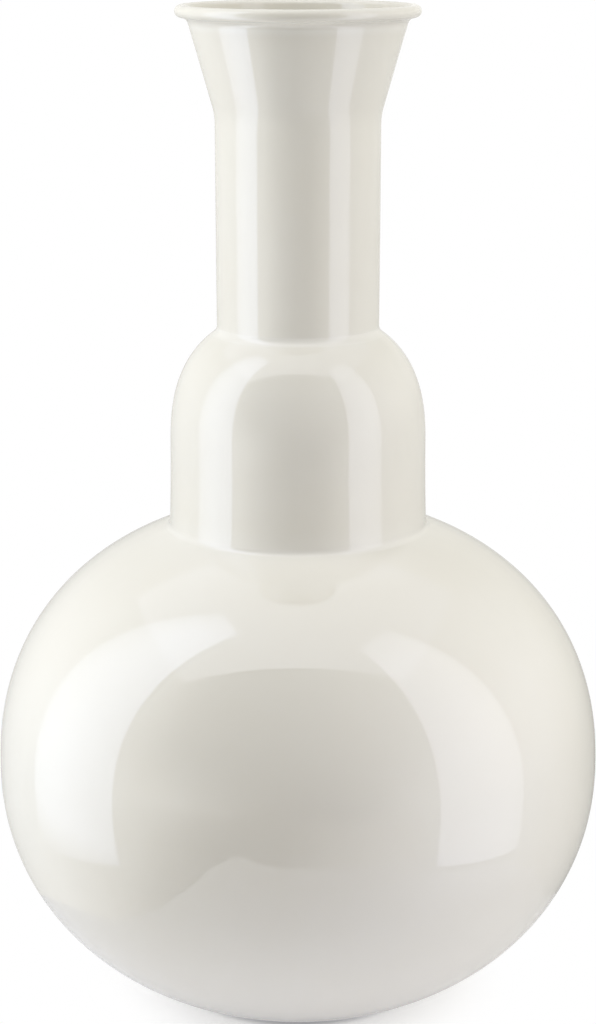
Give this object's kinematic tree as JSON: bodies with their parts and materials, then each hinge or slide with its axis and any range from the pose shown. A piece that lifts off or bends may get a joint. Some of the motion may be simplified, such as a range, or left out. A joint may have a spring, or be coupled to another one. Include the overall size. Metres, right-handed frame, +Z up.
{
  "type": "vase",
  "caption": "Tall metal vase: round body, domed shoulder and straight neck flaring to a rolled rim, enamelled cream, with felt pads under its base.",
  "frame": {"origin": "on the table under the middle of the base, on the vase's axis", "axes": "+Z up along the vase's axis towards the mouth; it is round, so +X and +Y are free"},
  "size_m": [0.2728, 0.2728, 0.45],
  "materials": {
    "enamel": "high-gloss cream enamel with a faint orange peel, over spun sheet",
    "wire": "bare drawn wire, closed in by the rolled rim",
    "felt": "pressed wool felt"
  },
  "bodies": {
    "root": {"body_lower": "enamel", "body_upper": "enamel", "body_weld": "enamel", "shoulder": "enamel", "shoulder_weld": "enamel", "neck": "enamel", "neck_weld": "enamel", "rim_wire": "wire", "felt_pad_1": "felt", "felt_pad_2": "felt", "felt_pad_3": "felt", "felt_pad_4": "felt"}
  },
  "joints": []
}
